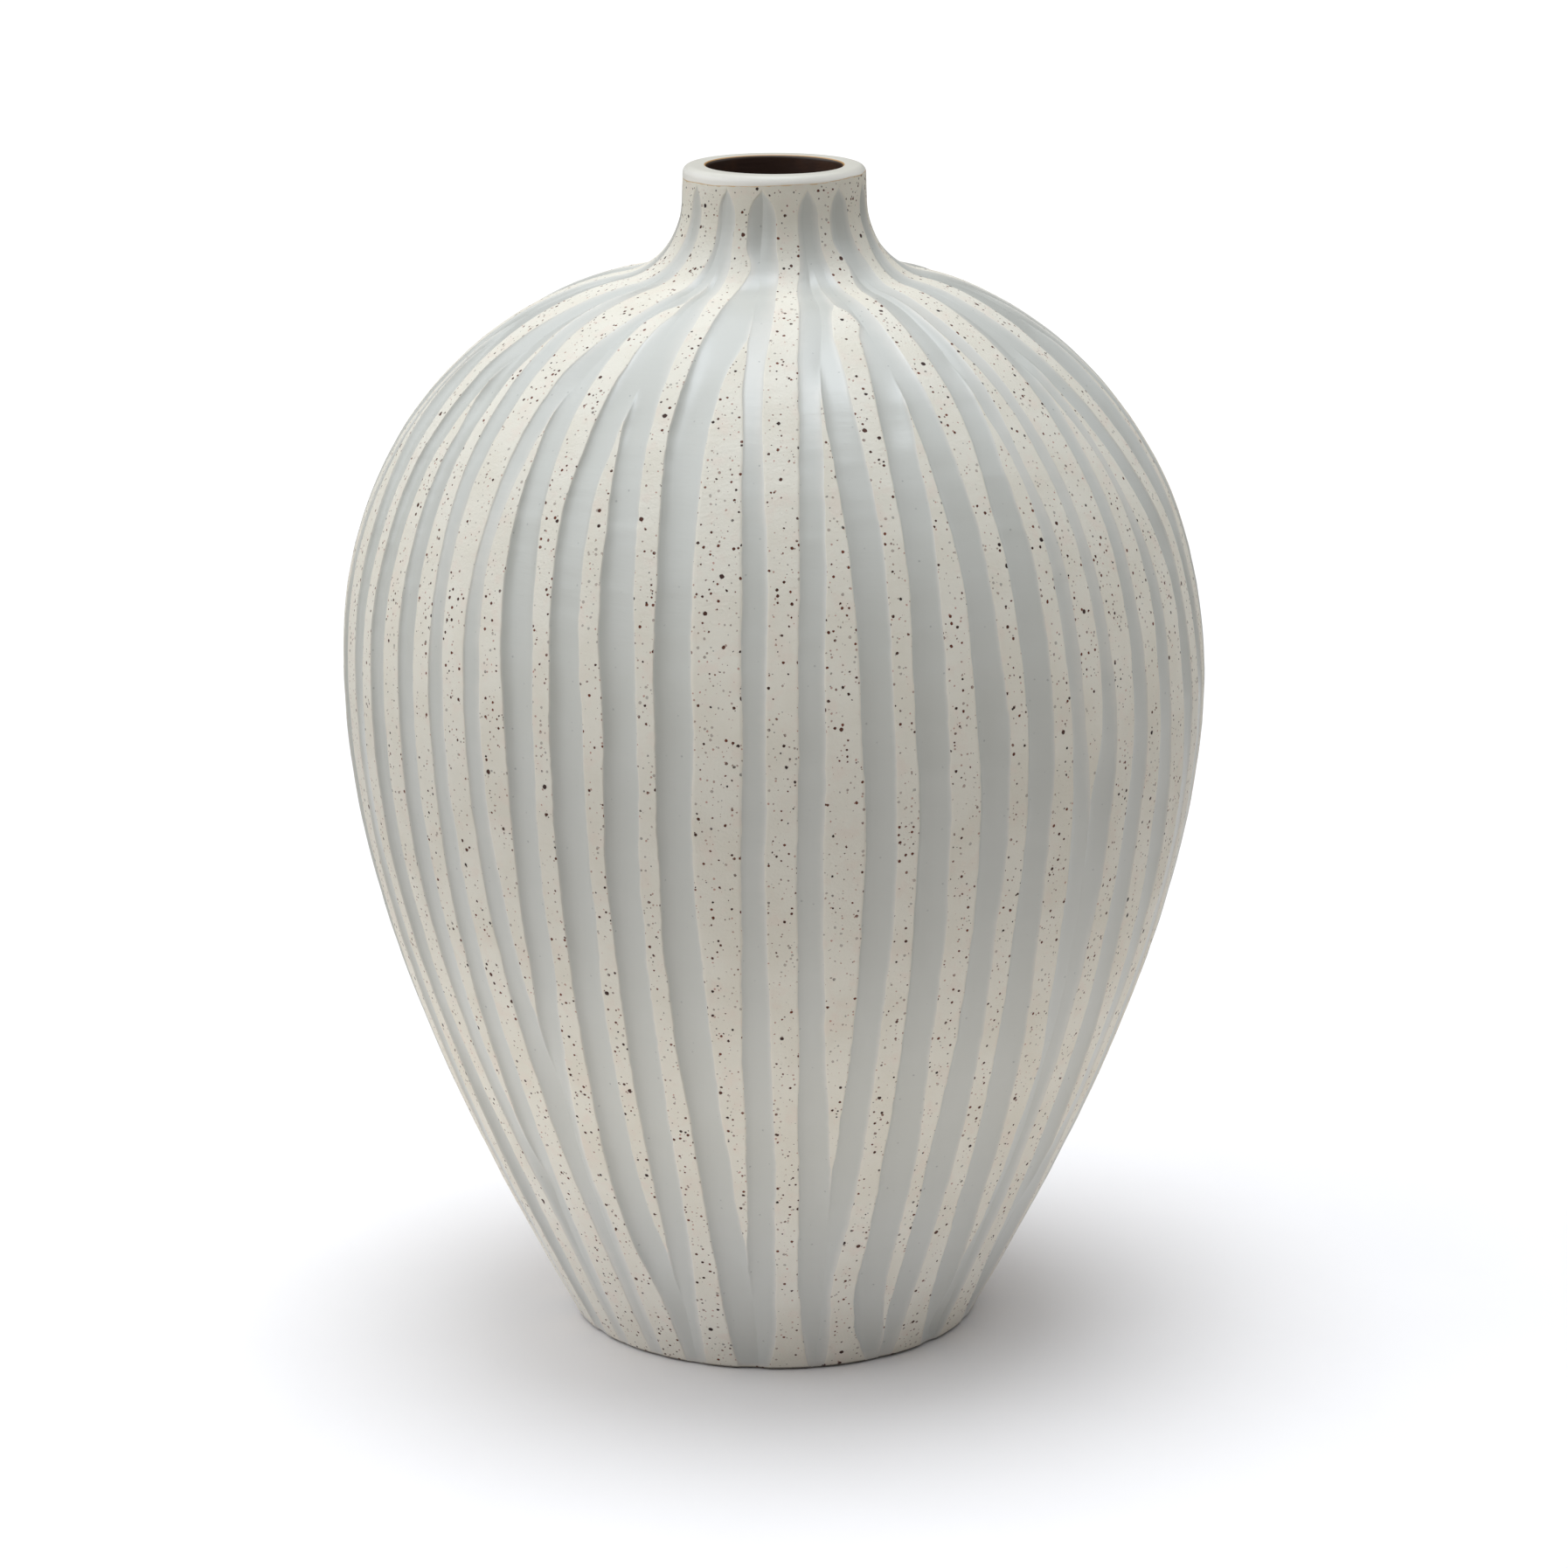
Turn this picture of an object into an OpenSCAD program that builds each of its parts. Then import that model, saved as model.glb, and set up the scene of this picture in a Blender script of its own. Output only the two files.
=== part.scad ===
// Ceramic bud vase: a thrown stoneware bottle with hand-carved vertical flutes.
// Millimetres, +Z up. The origin is the centre of the foot, on the table.
// Angles run round the vase from its front (-Y) towards its right (+X).

/* [Outline] */
// Height from the table to the top of the lip
height = 165; // [155:1:175]
// Radius of the foot where it meets the table
foot_r = 29; // [27:0.5:31]
// Angle by which the wall leans out above the foot
foot_lean = 27.5; // [24:0.5:31]
// Largest radius, at the belly
belly_r = 60.4; // [57:0.2:63]
// Height of the belly
belly_z = 94.5; // [90:0.5:98]
// Radius where the shoulder turns into the neck
shoulder_r = 21; // [20:0.5:23]
// Height where the shoulder turns into the neck
shoulder_z = 150; // [148:0.5:152]
// Radius of the neck
neck_r = 12.7; // [12.2:0.1:13.2]

/* [Walls] */
// Radius of the mouth, inside the glaze
mouth_r = 9.3; // [8.6:0.1:9.5]
// Clay left at the lip, not counting the glaze on both sides
lip_wall = 2.1; // [1.9:0.05:2.3]
// Radius of the rounded outer edge of the lip, in the glaze
lip_edge_r = 1.1; // [0.9:0.1:1.4]
// Radius of the inner edge of the lip, in the glaze
mouth_edge_r = 0.5; // [0.3:0.1:0.5]
// Wall at the belly
belly_wall = 5.6; // [4.5:0.1:7]
// Clay and glaze under the chamber
floor_z = 8; // [6.5:0.5:10]
// Radius of the hollow under the foot
recess_r = 21; // [18:0.5:23]
// Depth of the hollow under the foot
recess_depth = 1.8; // [1:0.1:2.5]

/* [Flutes] */
// Radius of the loop tool that cut the flutes
loop_r = 3.6; // [3:0.1:5]
// Deepest cut of one flute
flute_depth = 0.75; // [0.4:0.05:0.9]
// Depth of the faint crest left where two flutes meet
crest_depth = 0.4; // [0.2:0.05:0.5]
// Height at which the round ends of the flutes begin, below the lip
arch_z = 158.5; // [157:0.1:160]

/* [Glaze] */
// Glaze on the lip and the inside wall
glaze_t = 0.6; // [0.4:0.05:0.7]
// Part of each flute that the glaze fills
flute_fill = 0.38; // [0.25:0.01:0.5]

/* [Hidden] */

function mix(a, b, t) = a + (b - a) * t;
function reversed(list) = [for (i = [len(list) - 1:-1:0]) list[i]];

// ---------------------------------------------------------------- outline

function bezier(a, b, c, d, t) =
  pow(1 - t, 3) * a + 3 * t * pow(1 - t, 2) * b + 3 * t * t * (1 - t) * c + pow(t, 3) * d;

shoulder_slope = [-cos(10), sin(10)];

function body_point(t) = bezier(
  [foot_r, 0],
  [foot_r, 0] + 22 * [sin(foot_lean), cos(foot_lean)],
  [belly_r, belly_z - 36],
  [belly_r, belly_z], t);

function shoulder_point(t) = bezier(
  [belly_r, belly_z],
  [belly_r, belly_z + 37],
  [shoulder_r, shoulder_z] - 14 * shoulder_slope,
  [shoulder_r, shoulder_z], t);

function neck_point(t) = bezier(
  [shoulder_r, shoulder_z],
  [shoulder_r, shoulder_z] + 5 * shoulder_slope,
  [neck_r + 0.35, neck_z - 5],
  [neck_r, neck_z], t);

neck_z = height - 5;
collar_z = height - 1.3;

// Outline points from the foot to the collar, one for each ring of the fluted wall.
outline = concat(
  [for (t = [0, 0.015, 0.06, 0.15, 0.3, 0.5, 0.7, 0.86]) body_point(t)],
  [for (t = [0, 0.14, 0.28, 0.42, 0.57, 0.72, 0.87]) shoulder_point(t)],
  [for (t = [0, 0.3, 0.5, 0.7, 0.88]) neck_point(t)],
  [[neck_r, collar_z - 1.9], [neck_r, collar_z - 1], [neck_r - 0.1, collar_z]]
);
ring_count = len(outline);

// Outward direction of the wall at each ring, square to its neighbours.
function wall_normal(i) =
  let (a = outline[max(i - 1, 0)], b = outline[min(i + 1, ring_count - 1)], d = b - a)
  [d[1], -d[0]] / norm(d);

normals = [for (i = [0:ring_count - 1]) i == 0 ? [1, 0] : wall_normal(i)];

// ------------------------------------------------------------------ lands
// A land is the strip of bare clay left between two flutes. Each one is
// [lower end, upper end, stations], and a station is [height, left, right]:
// the two edges in degrees. Where left and right are equal the land has
// died out and only the crest between two joined flutes is left.
// A lower end of 0 runs out over the foot, and an upper end at the lip
// (165) runs into the collar below it.

front_lands = [
  [0, 139, [[0, -74, -68], [50, -74, -69.2], [80, -75, -70.2], [100, -76.5, -71.5],
    [120, -79, -74.6], [139, -81, -81], [156, -82.3, -82.3]]],
  [0, 165, [[0, -66, -61], [45, -64.8, -61.3], [65, -65.9, -63], [85, -67.6, -64],
    [100, -67.8, -64.8], [130, -70.8, -67.5], [140, -73.4, -68.4], [147, -75.5, -66],
    [156, -80, -62]]],
  [0, 139, [[0, -54.6, -48.4], [20, -54.2, -49.2], [30, -54.7, -50.7], [45, -56.3, -53.2],
    [60, -58.2, -54.6], [100, -60.4, -56.4], [120, -61.8, -58.4], [132, -62.6, -59.8],
    [139, -62.4, -62.4], [156, -58.3, -58.3]]],
  [37, 148, [[0, -46.8, -46.8], [37, -48.3, -48.3], [45, -49.8, -47.9], [65, -50.9, -48.3],
    [85, -51.9, -48.4], [100, -52.6, -49.2], [120, -54.5, -51], [142, -56.9, -55.1],
    [148, -57.4, -57.4], [156, -54.7, -54.7]]],
  [0, 165, [[0, -45, -36.7], [12, -44.4, -37.3], [30, -43.5, -38.8], [50, -43.9, -39.8],
    [75, -44.9, -41], [100, -46.2, -42.5], [115, -47.7, -43.4], [140, -49.9, -43.8],
    [150, -51.3, -39.8], [156, -51, -36.5]]],
  [56, 137, [[0, -34.5, -34.5], [56, -36, -36], [62, -37, -35.5], [75, -37.8, -35],
    [90, -39.2, -35.2], [105, -39.8, -36.1], [120, -41, -38], [130, -40.5, -38.8],
    [137, -40, -40], [156, -33.4, -33.4]]],
  [0, 149.5, [[0, -32.3, -24.8], [10, -32.5, -26.3], [22, -33, -29.4], [32, -34.1, -30.1],
    [50, -32.7, -28.9], [70, -31.1, -28.3], [100, -31, -28.7], [130, -34.5, -30.7],
    [140, -35.3, -30.6], [147, -34.5, -28.6], [149.5, -31, -31], [156, -30.2, -30.2]]],
  [20, 136.5, [[0, -21.8, -21.8], [20, -21.9, -21.9], [26, -23.5, -21.5], [35, -24.1, -21.5],
    [80, -23.7, -21.5], [100, -24, -21.4], [115, -25.3, -22.5], [128, -26, -23.8],
    [136.5, -25.3, -25.3], [156, -27.1, -27.1]]],
  [0, 165, [[0, -19.3, -9.7], [10, -17.8, -11.6], [22, -16.5, -12.1], [45, -16.5, -13.4],
    [70, -17, -14.5], [100, -16.8, -14.5], [120, -18.2, -15.3], [138, -20, -16.6],
    [147, -20.2, -15.3], [153, -23, -10.5], [156, -24.2, -15.5]]],
  [22, 146.5, [[0, -4.5, -4.5], [22, -5.4, -5.4], [27, -6.4, -4.8], [40, -7.6, -4.5],
    [60, -9.1, -4.4], [85, -10, -4], [100, -9.8, -3.6], [120, -10.3, -3.8],
    [135, -10.1, -4.3], [142, -8.8, -5.1], [146.5, -6, -6], [156, -7.3, -7.3]]],
  [0, 165, [[0, -2, 9.3], [5, -0.1, 7.3], [10, 0.3, 5.8], [25, 0.3, 4.6], [65, -0.8, 3.2],
    [85, -1.1, 2.9], [120, -0.4, 3.9], [142, -1.2, 5.6], [150, 1, 9], [153, 2.2, 12.8],
    [156, 0.8, 14.3]]],
  [34, 140, [[0, 11.2, 11.2], [34, 9.8, 9.8], [40, 8.9, 10.3], [50, 7.8, 10.7],
    [65, 6.7, 11.3], [85, 6.2, 11.5], [100, 6.6, 11], [115, 7.1, 11], [130, 8.1, 10.2],
    [140, 9.4, 9.4], [156, 17.7, 17.7]]],
  [0, 149, [[0, 13.5, 26.5], [3, 14, 23], [8, 13.6, 19.4], [15, 12.6, 17.9], [27, 14, 18.5],
    [45, 14.8, 18.4], [85, 15.5, 18.3], [100, 15.2, 17.8], [120, 15.5, 18.4],
    [138, 14.8, 19.5], [146, 15.2, 21.8], [149, 19, 19], [156, 21.1, 21.1]]],
  [3, 138.5, [[0, 29.8, 29.8], [3, 29.5, 29.5], [10, 26.7, 27.9], [17, 24.8, 27.3],
    [35, 24.4, 26.9], [55, 23.2, 26.9], [85, 22.6, 26.6], [100, 22.1, 26.2],
    [120, 22.8, 25.9], [132, 23.6, 25.4], [138.5, 25, 25], [156, 24.6, 24.6]]],
  [0, 165, [[0, 34.2, 45], [5, 34.2, 42.3], [12, 33.4, 39.2], [25, 32.8, 36.9],
    [50, 31.7, 34.7], [75, 30.6, 33.4], [90, 30.8, 33.5], [122, 30.1, 33.2],
    [137, 30.1, 34.6], [147, 29.8, 35.3], [150, 29.3, 36], [153, 28.5, 40], [156, 28, 36]]],
  [15.5, 139, [[0, 49, 49], [15.5, 45.2, 45.2], [22, 43.6, 46], [40, 41.1, 45.2],
    [47, 40.3, 45.1], [60, 38.9, 42.8], [80, 37.5, 41.4], [100, 37.5, 40.5],
    [130, 37.9, 40.6], [139, 39.7, 39.7], [156, 42, 42]]],
  [86, 147.5, [[0, 51, 51], [20, 48.5, 48.5], [45, 47.3, 47.3], [70, 45.5, 45.5],
    [86, 44.2, 44.2], [92, 43.5, 45.2], [98, 43, 46], [110, 43, 46.5], [122, 42.9, 46.3],
    [131, 42.2, 46], [140, 43.4, 45.6], [143, 43.4, 44.8], [147.5, 43.9, 43.9],
    [156, 47.5, 47.5]]],
  [0, 165, [[0, 53, 66.5], [5, 52.3, 61.9], [12, 51.3, 58], [30, 50.3, 55], [50, 49.4, 53.4],
    [80, 48.6, 52], [100, 48.9, 52.8], [130, 48.7, 54], [140, 48.8, 55.1], [148, 48.7, 57.8],
    [153, 54.5, 63], [156, 52, 66]]],
  [30, 138, [[0, 69, 69], [5, 65.5, 65.5], [15, 62.8, 62.8], [30, 61.9, 61.9],
    [37, 60.4, 62.8], [50, 58.8, 62.5], [65, 56.7, 61.3], [80, 55.8, 59.8],
    [100, 56.1, 59.5], [115, 56.2, 60.3], [130, 57.1, 60], [138, 58.8, 58.8],
    [148, 61, 61], [156, 69.5, 69.5]]],
  [0, 139, [[0, 71.5, 74.5], [40, 65.5, 70], [60, 65.7, 69.8], [75, 64.8, 69.6],
    [100, 62.5, 67.3], [110, 63.2, 67.8], [120, 62.4, 66.3], [130, 61.7, 64.2],
    [139, 62.2, 62.2], [148, 64.6, 64.6], [156, 74, 74]]],
  [0, 165, [[0, 77, 82], [60, 73, 77], [100, 71.5, 75], [115, 71.5, 74.8],
    [130, 68.8, 72.8], [140, 67.6, 71.9], [147, 68, 76], [156, 79, 90]]]
];

// The lands round the back follow the same habit: one in three or four
// runs up into the collar, every other one runs out over the foot, and
// the rest taper out. The sines stand in for the unevenness of handwork.
back_count = 28;
belly_start = 73.2;
belly_pitch = 7.26;
foot_start = 79.5;
foot_pitch = 7.24;
neck_start = 84.5;
neck_pitch = 22.7;
collar_half = 5.8;
collar_lands = [[-1, 0], [2, 1], [6, 2], [9, 3], [12, 4], [16, 5], [19, 6], [23, 7],
  [26, 8], [29, 9]];

// Place of back land j among the grooves of the neck: a whole number for
// a land that reaches the collar, and a fraction for one that does not.
function neck_place(j) = lookup(j, collar_lands);
function neck_angle(j) =
  let (whole = floor(neck_place(j)), part = neck_place(j) - whole)
  neck_start + neck_pitch * whole
    + (part == 0 ? 0 : collar_half + (neck_pitch - 2 * collar_half) * part);

function back_land(j) =
  let (
    belly = belly_start + belly_pitch * (j + 1) + 0.4 * sin(140 * j),
    foot = foot_start + foot_pitch * (j + 1),
    neck = neck_angle(j),
    half = 1.8 + 0.5 * sin(97 * j + 30),
    to_collar = neck_place(j) == floor(neck_place(j)),
    to_foot = j % 2 == 1 && j < 27,
    low = to_foot ? 0 : 30 + 14 * sin(61 * j),
    high = to_collar ? 165 : 141 + 5 * sin(113 * j),
    lower = to_foot
      ? [[0, foot - 4.4, foot + 4.6], [12, mix(foot, belly, 0.3) - 2.8, mix(foot, belly, 0.3) + 2.9]]
      : [[0, foot, foot], [low, mix(foot, belly, 0.5), mix(foot, belly, 0.5)],
         [low + 12, mix(foot, belly, 0.6) - 1, mix(foot, belly, 0.6) + 1]],
    upper = to_collar
      ? [[132, mix(belly, neck, 0.2) - 1.8, mix(belly, neck, 0.2) + 1.8],
         [147, mix(belly, neck, 0.5) - 3, mix(belly, neck, 0.5) + 3.2],
         [156, neck - collar_half, neck + collar_half]]
      : [[high - 14, mix(belly, neck, 0.12) - 1.3, mix(belly, neck, 0.12) + 1.3],
         [high, mix(belly, neck, 0.25), mix(belly, neck, 0.25)],
         [156, neck, neck]]
  )
  [low, high, concat(lower, [[75, belly - half, belly + half], [108, belly - half, belly + half]], upper)];

lands = concat(front_lands, [for (j = [0:back_count - 1]) back_land(j)]);
land_count = len(lands);
scale_z = height / 165;

// Land numbers run on past the last land, so that the ring closes.
function land(k) = lands[(k + land_count) % land_count];
function turn(k) = 360 * floor(k / land_count);

function station_edge(k, side, z) =
  lookup(min(z / scale_z, 156), [for (s = land(k)[2]) [s[0], s[side]]]) + turn(k);

// A crest keeps a hair of width, so that the glaze on its two sides stays apart.
function edge(k, side, z) =
  let (left = station_edge(k, 1, z), right = station_edge(k, 2, z))
  right > left + 0.3 ? (side == 1 ? left : right) : (left + right) / 2 + (side == 1 ? -0.15 : 0.15);

function to_collar(k) = land(k)[1] > 160;
function collar_before(k) = to_collar(k) ? k : collar_before(k - 1);
function collar_after(k) = to_collar(k) ? k : collar_after(k + 1);

// Middle of the neck groove that flute k, to the right of land k, runs into.
function groove_middle(k) =
  (station_edge(collar_before(k), 2, 156 * scale_z)
    + station_edge(collar_after(k + 1), 1, 156 * scale_z)) / 2;
middles = [for (k = [0:land_count - 1]) groove_middle(k)];

// The round end of the neck grooves: 1 below it, falling to 0 at the collar.
arch_rise = collar_z - 0.9 - arch_z;
function arch(z) = z < arch_z ? 1 : sqrt(max(0, 1 - pow((z - arch_z) / arch_rise, 2)));

function drawn_in(angle, k, z) = mix(middles[(k + land_count) % land_count] + turn(k), angle, arch(z));
function flute_left(k, z) = drawn_in(edge(k, 2, z), k, z);
function flute_right(k, z) = drawn_in(edge(k + 1, 1, z), k, z);

// How far a crest has sunk below the bare clay at height z.
function crest(k, z) =
  let (past = max(z / scale_z - land(k)[1], land(k)[0] - z / scale_z))
  crest_depth * min(1, max(0, past / 12)) * arch(z);

// Depth of flute k at share t of its width, on ring i.
function flute_cut(k, i, t) =
  let (
    z = outline[i][1],
    width = outline[i][0] * (flute_right(k, z) - flute_left(k, z)) * PI / 180,
    own = min(width * width / (8 * loop_r), flute_depth) * (0.25 + 0.75 * arch(z)),
    ends = mix(crest(k, z), crest(k + 1, z), t)
  )
  z > collar_z - 0.1 ? 0 : ends + own * 4 * t * (1 - t) * (1 - 0.5 * ends / crest_depth);

function wall_point(i, angle, depth) =
  let (p = outline[i] - depth * normals[i])
  [p[0] * sin(angle), -p[0] * cos(angle), p[1]];

function flute_angle(k, i, t) = mix(flute_left(k, outline[i][1]), flute_right(k, outline[i][1]), t);
function cut_point(k, i, t) = wall_point(i, flute_angle(k, i, t), flute_cut(k, i, t));
function glaze_point(k, i, t) =
  wall_point(i, flute_angle(k, i, t), flute_cut(k, i, t) * (1 - flute_fill));

// -------------------------------------------------------------- clay body

// Points of one ring: for every flute its left edge, two points in the
// cut and its right edge, and then the middle of a land that is wide.
function ring(i) = [for (k = [0:land_count - 1])
  each concat(
    [for (t = [0, 1 / 3, 2 / 3, 1]) cut_point(k, i, t)],
    to_collar(k + 1) ? [land_middle(k + 1, i)] : [])];

function land_middle(k, i) =
  let (z = outline[i][1])
  wall_point(i, (flute_right(k - 1, z) + flute_left(k, z)) / 2, 0);

function ring_faces(low, high, n) = [for (c = [0:n - 1])
  let (d = (c + 1) % n)
  each [[low + c, high + c, high + d], [low + c, high + d, low + d]]];

module fluted_wall() {
  rings = [for (i = [0:ring_count - 1]) ring(i)];
  n = len(rings[0]);
  points = concat([for (r = rings) each r], [[0, 0, 0], [0, 0, collar_z]]);
  bottom = ring_count * n;
  top = (ring_count - 1) * n;
  polyhedron(points, concat(
    [for (i = [0:ring_count - 2]) each ring_faces(i * n, (i + 1) * n, n)],
    [for (c = [0:n - 1]) [bottom, c, (c + 1) % n]],
    [for (c = [0:n - 1]) [bottom + 1, top + (c + 1) % n, top + c]]));
}

clay_mouth_r = mouth_r + glaze_t;
clay_lip_r = clay_mouth_r + lip_wall;
edge_centre = [clay_lip_r + glaze_t - lip_edge_r, height - lip_edge_r];
// Height where the lining meets the glaze of the lip.
seam_z = height - mouth_edge_r;

function arc(centre, r, from, to) = [for (s = [0:8])
  centre + r * [cos(mix(from, to, s / 8)), sin(mix(from, to, s / 8))]];

// The clay of the rim, standing on the collar: flat on top, with its outer edge rounded.
module rim() {
  rotate_extrude($fn = 96)
    polygon(concat(
      [[clay_mouth_r, collar_z - 0.3], [clay_lip_r, collar_z - 0.3]],
      arc(edge_centre, lip_edge_r - glaze_t, 0, 90),
      [[clay_mouth_r, height - glaze_t]]));
}

// Half outline of the chamber, from the middle of its floor to the neck.
// With grow = 0 it is the surface of the lining and with grow = glaze_t the clay.
chamber_r = belly_r - belly_wall;
function chamber_outline(grow) = concat(
  [[0, floor_z - grow]],
  [for (t = [0:0.1:1]) bezier([16, floor_z - grow], [29, floor_z - grow],
    [chamber_r + grow, belly_z - 46], [chamber_r + grow, belly_z], t)],
  [for (t = [0.125:0.125:1]) bezier([chamber_r + grow, belly_z],
    [chamber_r + grow, belly_z + 33], [34, 143.5 + grow], [19, 146.8 + grow], t)],
  [for (t = [0.2:0.2:1]) bezier([19, 146.8 + grow], [14, 147.9 + grow],
    [mouth_r + grow, 148.8 + grow], [mouth_r + grow, 152.5 + grow], t)]);

module chamber() {
  rotate_extrude($fn = 96)
    polygon(concat(
      chamber_outline(glaze_t),
      [[clay_mouth_r, height], [0, height]]));
}

module foot_recess() {
  rotate_extrude($fn = 96)
    polygon([[0, -1], [recess_r + 0.6, -1], [recess_r, 0], [recess_r - 1.6, recess_depth * 0.8],
      [recess_r - 4, recess_depth], [0, recess_depth]]);
}

module clay_body() {
  color([0.80, 0.77, 0.70])
    difference() {
      union() {
        fluted_wall();
        rim();
      }
      chamber();
      foot_recess();
    }
}

// ------------------------------------------------------------------ glaze

// The glaze starts just above the table, so that the foot stays bare,
// and ends under the collar.
first_ring = 1;
last_ring = ring_count - 2;
span = last_ring - first_ring + 1;

// Every ring of a glaze strip has five points: the left edge, two against
// the cut, the right edge, and one on the surface of the glaze.
function strip_points(k) = [for (i = [first_ring:last_ring])
  each [cut_point(k, i, 0), cut_point(k, i, 1 / 3), cut_point(k, i, 2 / 3),
    cut_point(k, i, 1), glaze_point(k, i, 1 / 2)]];

function patch(a, b, up) = [[a, b, a + up], [b, b + up, a + up]];

function strip_faces(start) = concat(
  [for (s = [0:span - 2])
    let (o = start + 5 * s)
    each concat(
      patch(o + 1, o, 5), patch(o + 2, o + 1, 5), patch(o + 3, o + 2, 5),
      patch(o, o + 4, 5), patch(o + 4, o + 3, 5))],
  strip_end(start, false),
  strip_end(start + 5 * (span - 1), true));

function strip_end(o, top) = [for (f = [[o, o + 1, o + 4], [o + 1, o + 2, o + 4], [o + 2, o + 3, o + 4]])
  top ? f : [f[2], f[1], f[0]]];

module flute_glaze() {
  color([0.70, 0.73, 0.72])
    polyhedron(
      [for (k = [0:land_count - 1]) each strip_points(k)],
      [for (k = [0:land_count - 1]) each strip_faces(5 * span * k)]);
}

module lip_glaze() {
  color([0.85, 0.85, 0.81])
    rotate_extrude($fn = 96)
      polygon(concat(
        [[clay_lip_r, collar_z], [clay_lip_r + glaze_t, collar_z]],
        arc(edge_centre, lip_edge_r, 0, 90),
        arc([mouth_r + mouth_edge_r, seam_z], mouth_edge_r, 90, 180),
        [[clay_mouth_r, seam_z], [clay_mouth_r, height - glaze_t]],
        arc(edge_centre, lip_edge_r - glaze_t, 90, 0)));
}

module lining_glaze() {
  color([0.12, 0.08, 0.06])
    rotate_extrude($fn = 96)
      polygon(concat(
        chamber_outline(0),
        [[mouth_r, seam_z], [clay_mouth_r, seam_z]],
        reversed(chamber_outline(glaze_t))));
}

clay_body();
flute_glaze();
lip_glaze();
lining_glaze();
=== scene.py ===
"""Looks of the ceramic bud vase: a thrown stoneware bottle with hand-carved flutes.

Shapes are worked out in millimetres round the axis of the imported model, and
become metres when their meshes are made. Angles are in degrees and run round
the vase from its front (-Y) towards its right (+X).
"""
import math

import bpy
import numpy as np
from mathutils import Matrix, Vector


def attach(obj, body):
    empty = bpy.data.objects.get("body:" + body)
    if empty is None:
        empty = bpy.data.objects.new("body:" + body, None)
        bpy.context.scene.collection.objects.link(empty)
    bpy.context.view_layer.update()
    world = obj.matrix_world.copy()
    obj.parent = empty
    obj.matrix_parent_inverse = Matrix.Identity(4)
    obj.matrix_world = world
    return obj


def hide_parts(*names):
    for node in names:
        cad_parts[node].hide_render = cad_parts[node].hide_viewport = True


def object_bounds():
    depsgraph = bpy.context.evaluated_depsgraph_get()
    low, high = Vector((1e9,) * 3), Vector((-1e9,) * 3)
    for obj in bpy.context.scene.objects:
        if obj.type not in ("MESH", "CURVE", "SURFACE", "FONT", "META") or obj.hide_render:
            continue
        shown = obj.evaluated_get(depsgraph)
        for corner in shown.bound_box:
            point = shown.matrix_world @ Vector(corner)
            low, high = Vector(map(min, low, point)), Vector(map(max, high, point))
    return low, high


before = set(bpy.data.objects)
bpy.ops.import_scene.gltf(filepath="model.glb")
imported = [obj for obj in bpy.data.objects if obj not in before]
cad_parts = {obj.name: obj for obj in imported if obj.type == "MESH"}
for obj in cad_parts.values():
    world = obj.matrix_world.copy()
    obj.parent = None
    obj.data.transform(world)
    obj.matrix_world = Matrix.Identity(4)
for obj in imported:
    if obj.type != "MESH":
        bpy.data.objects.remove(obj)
cad_low, cad_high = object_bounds()

# ------------------------------------------------------------------- sizes

MM = 0.001
HEIGHT = cad_high.z / MM
BELLY_R = cad_high.x / MM
BELLY_Z = 94.5
FOOT_R = 29.0
FOOT_LEAN = math.radians(27.5)
FOOT_EDGE = 0.7
SHOULDER = np.array([21.0, 150.0])
SHOULDER_SLOPE = np.array([-math.cos(math.radians(10)), math.sin(math.radians(10))])
NECK_R = 12.7
NECK_Z = HEIGHT - 5.0
COLLAR_Z = HEIGHT - 1.3
MOUTH_R = 9.3
GLAZE_T = 0.6
LIP_WALL = 2.1
LIP_EDGE_R = 1.1
MOUTH_EDGE_R = 0.5
FLOOR_Z = 8.0
CHAMBER_R = BELLY_R - 5.6
RECESS_R = 21.0
RECESS_DEPTH = 1.8

LOOP_R = 3.0
FLUTE_DEPTH = 0.95
CREST_DEPTH = 0.15
HAIR = 0.05
ARCH_Z = 158.8
FLUTE_GLAZE_T = 0.2
LIP_GLAZE_T = 0.4
DRY_EDGE = 0.06

ROW_STEP = 0.65
LAND_COLUMNS = np.array([0, 0.07, 0.35, 0.65, 0.93, 1])
FLUTE_COLUMNS = np.array([0, 0.035, 0.12, 0.27, 0.42, 0.58, 0.73, 0.88, 0.965, 1])


# ------------------------------------------------------------------- lands
# A land is the strip of bare clay left between two flutes: (lower end,
# upper end, stations), and a station is (height, left edge, right edge).
# Where the edges are equal the land has died out and only the crest between
# two joined flutes is left. An upper end of 165 runs into the collar.

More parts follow.
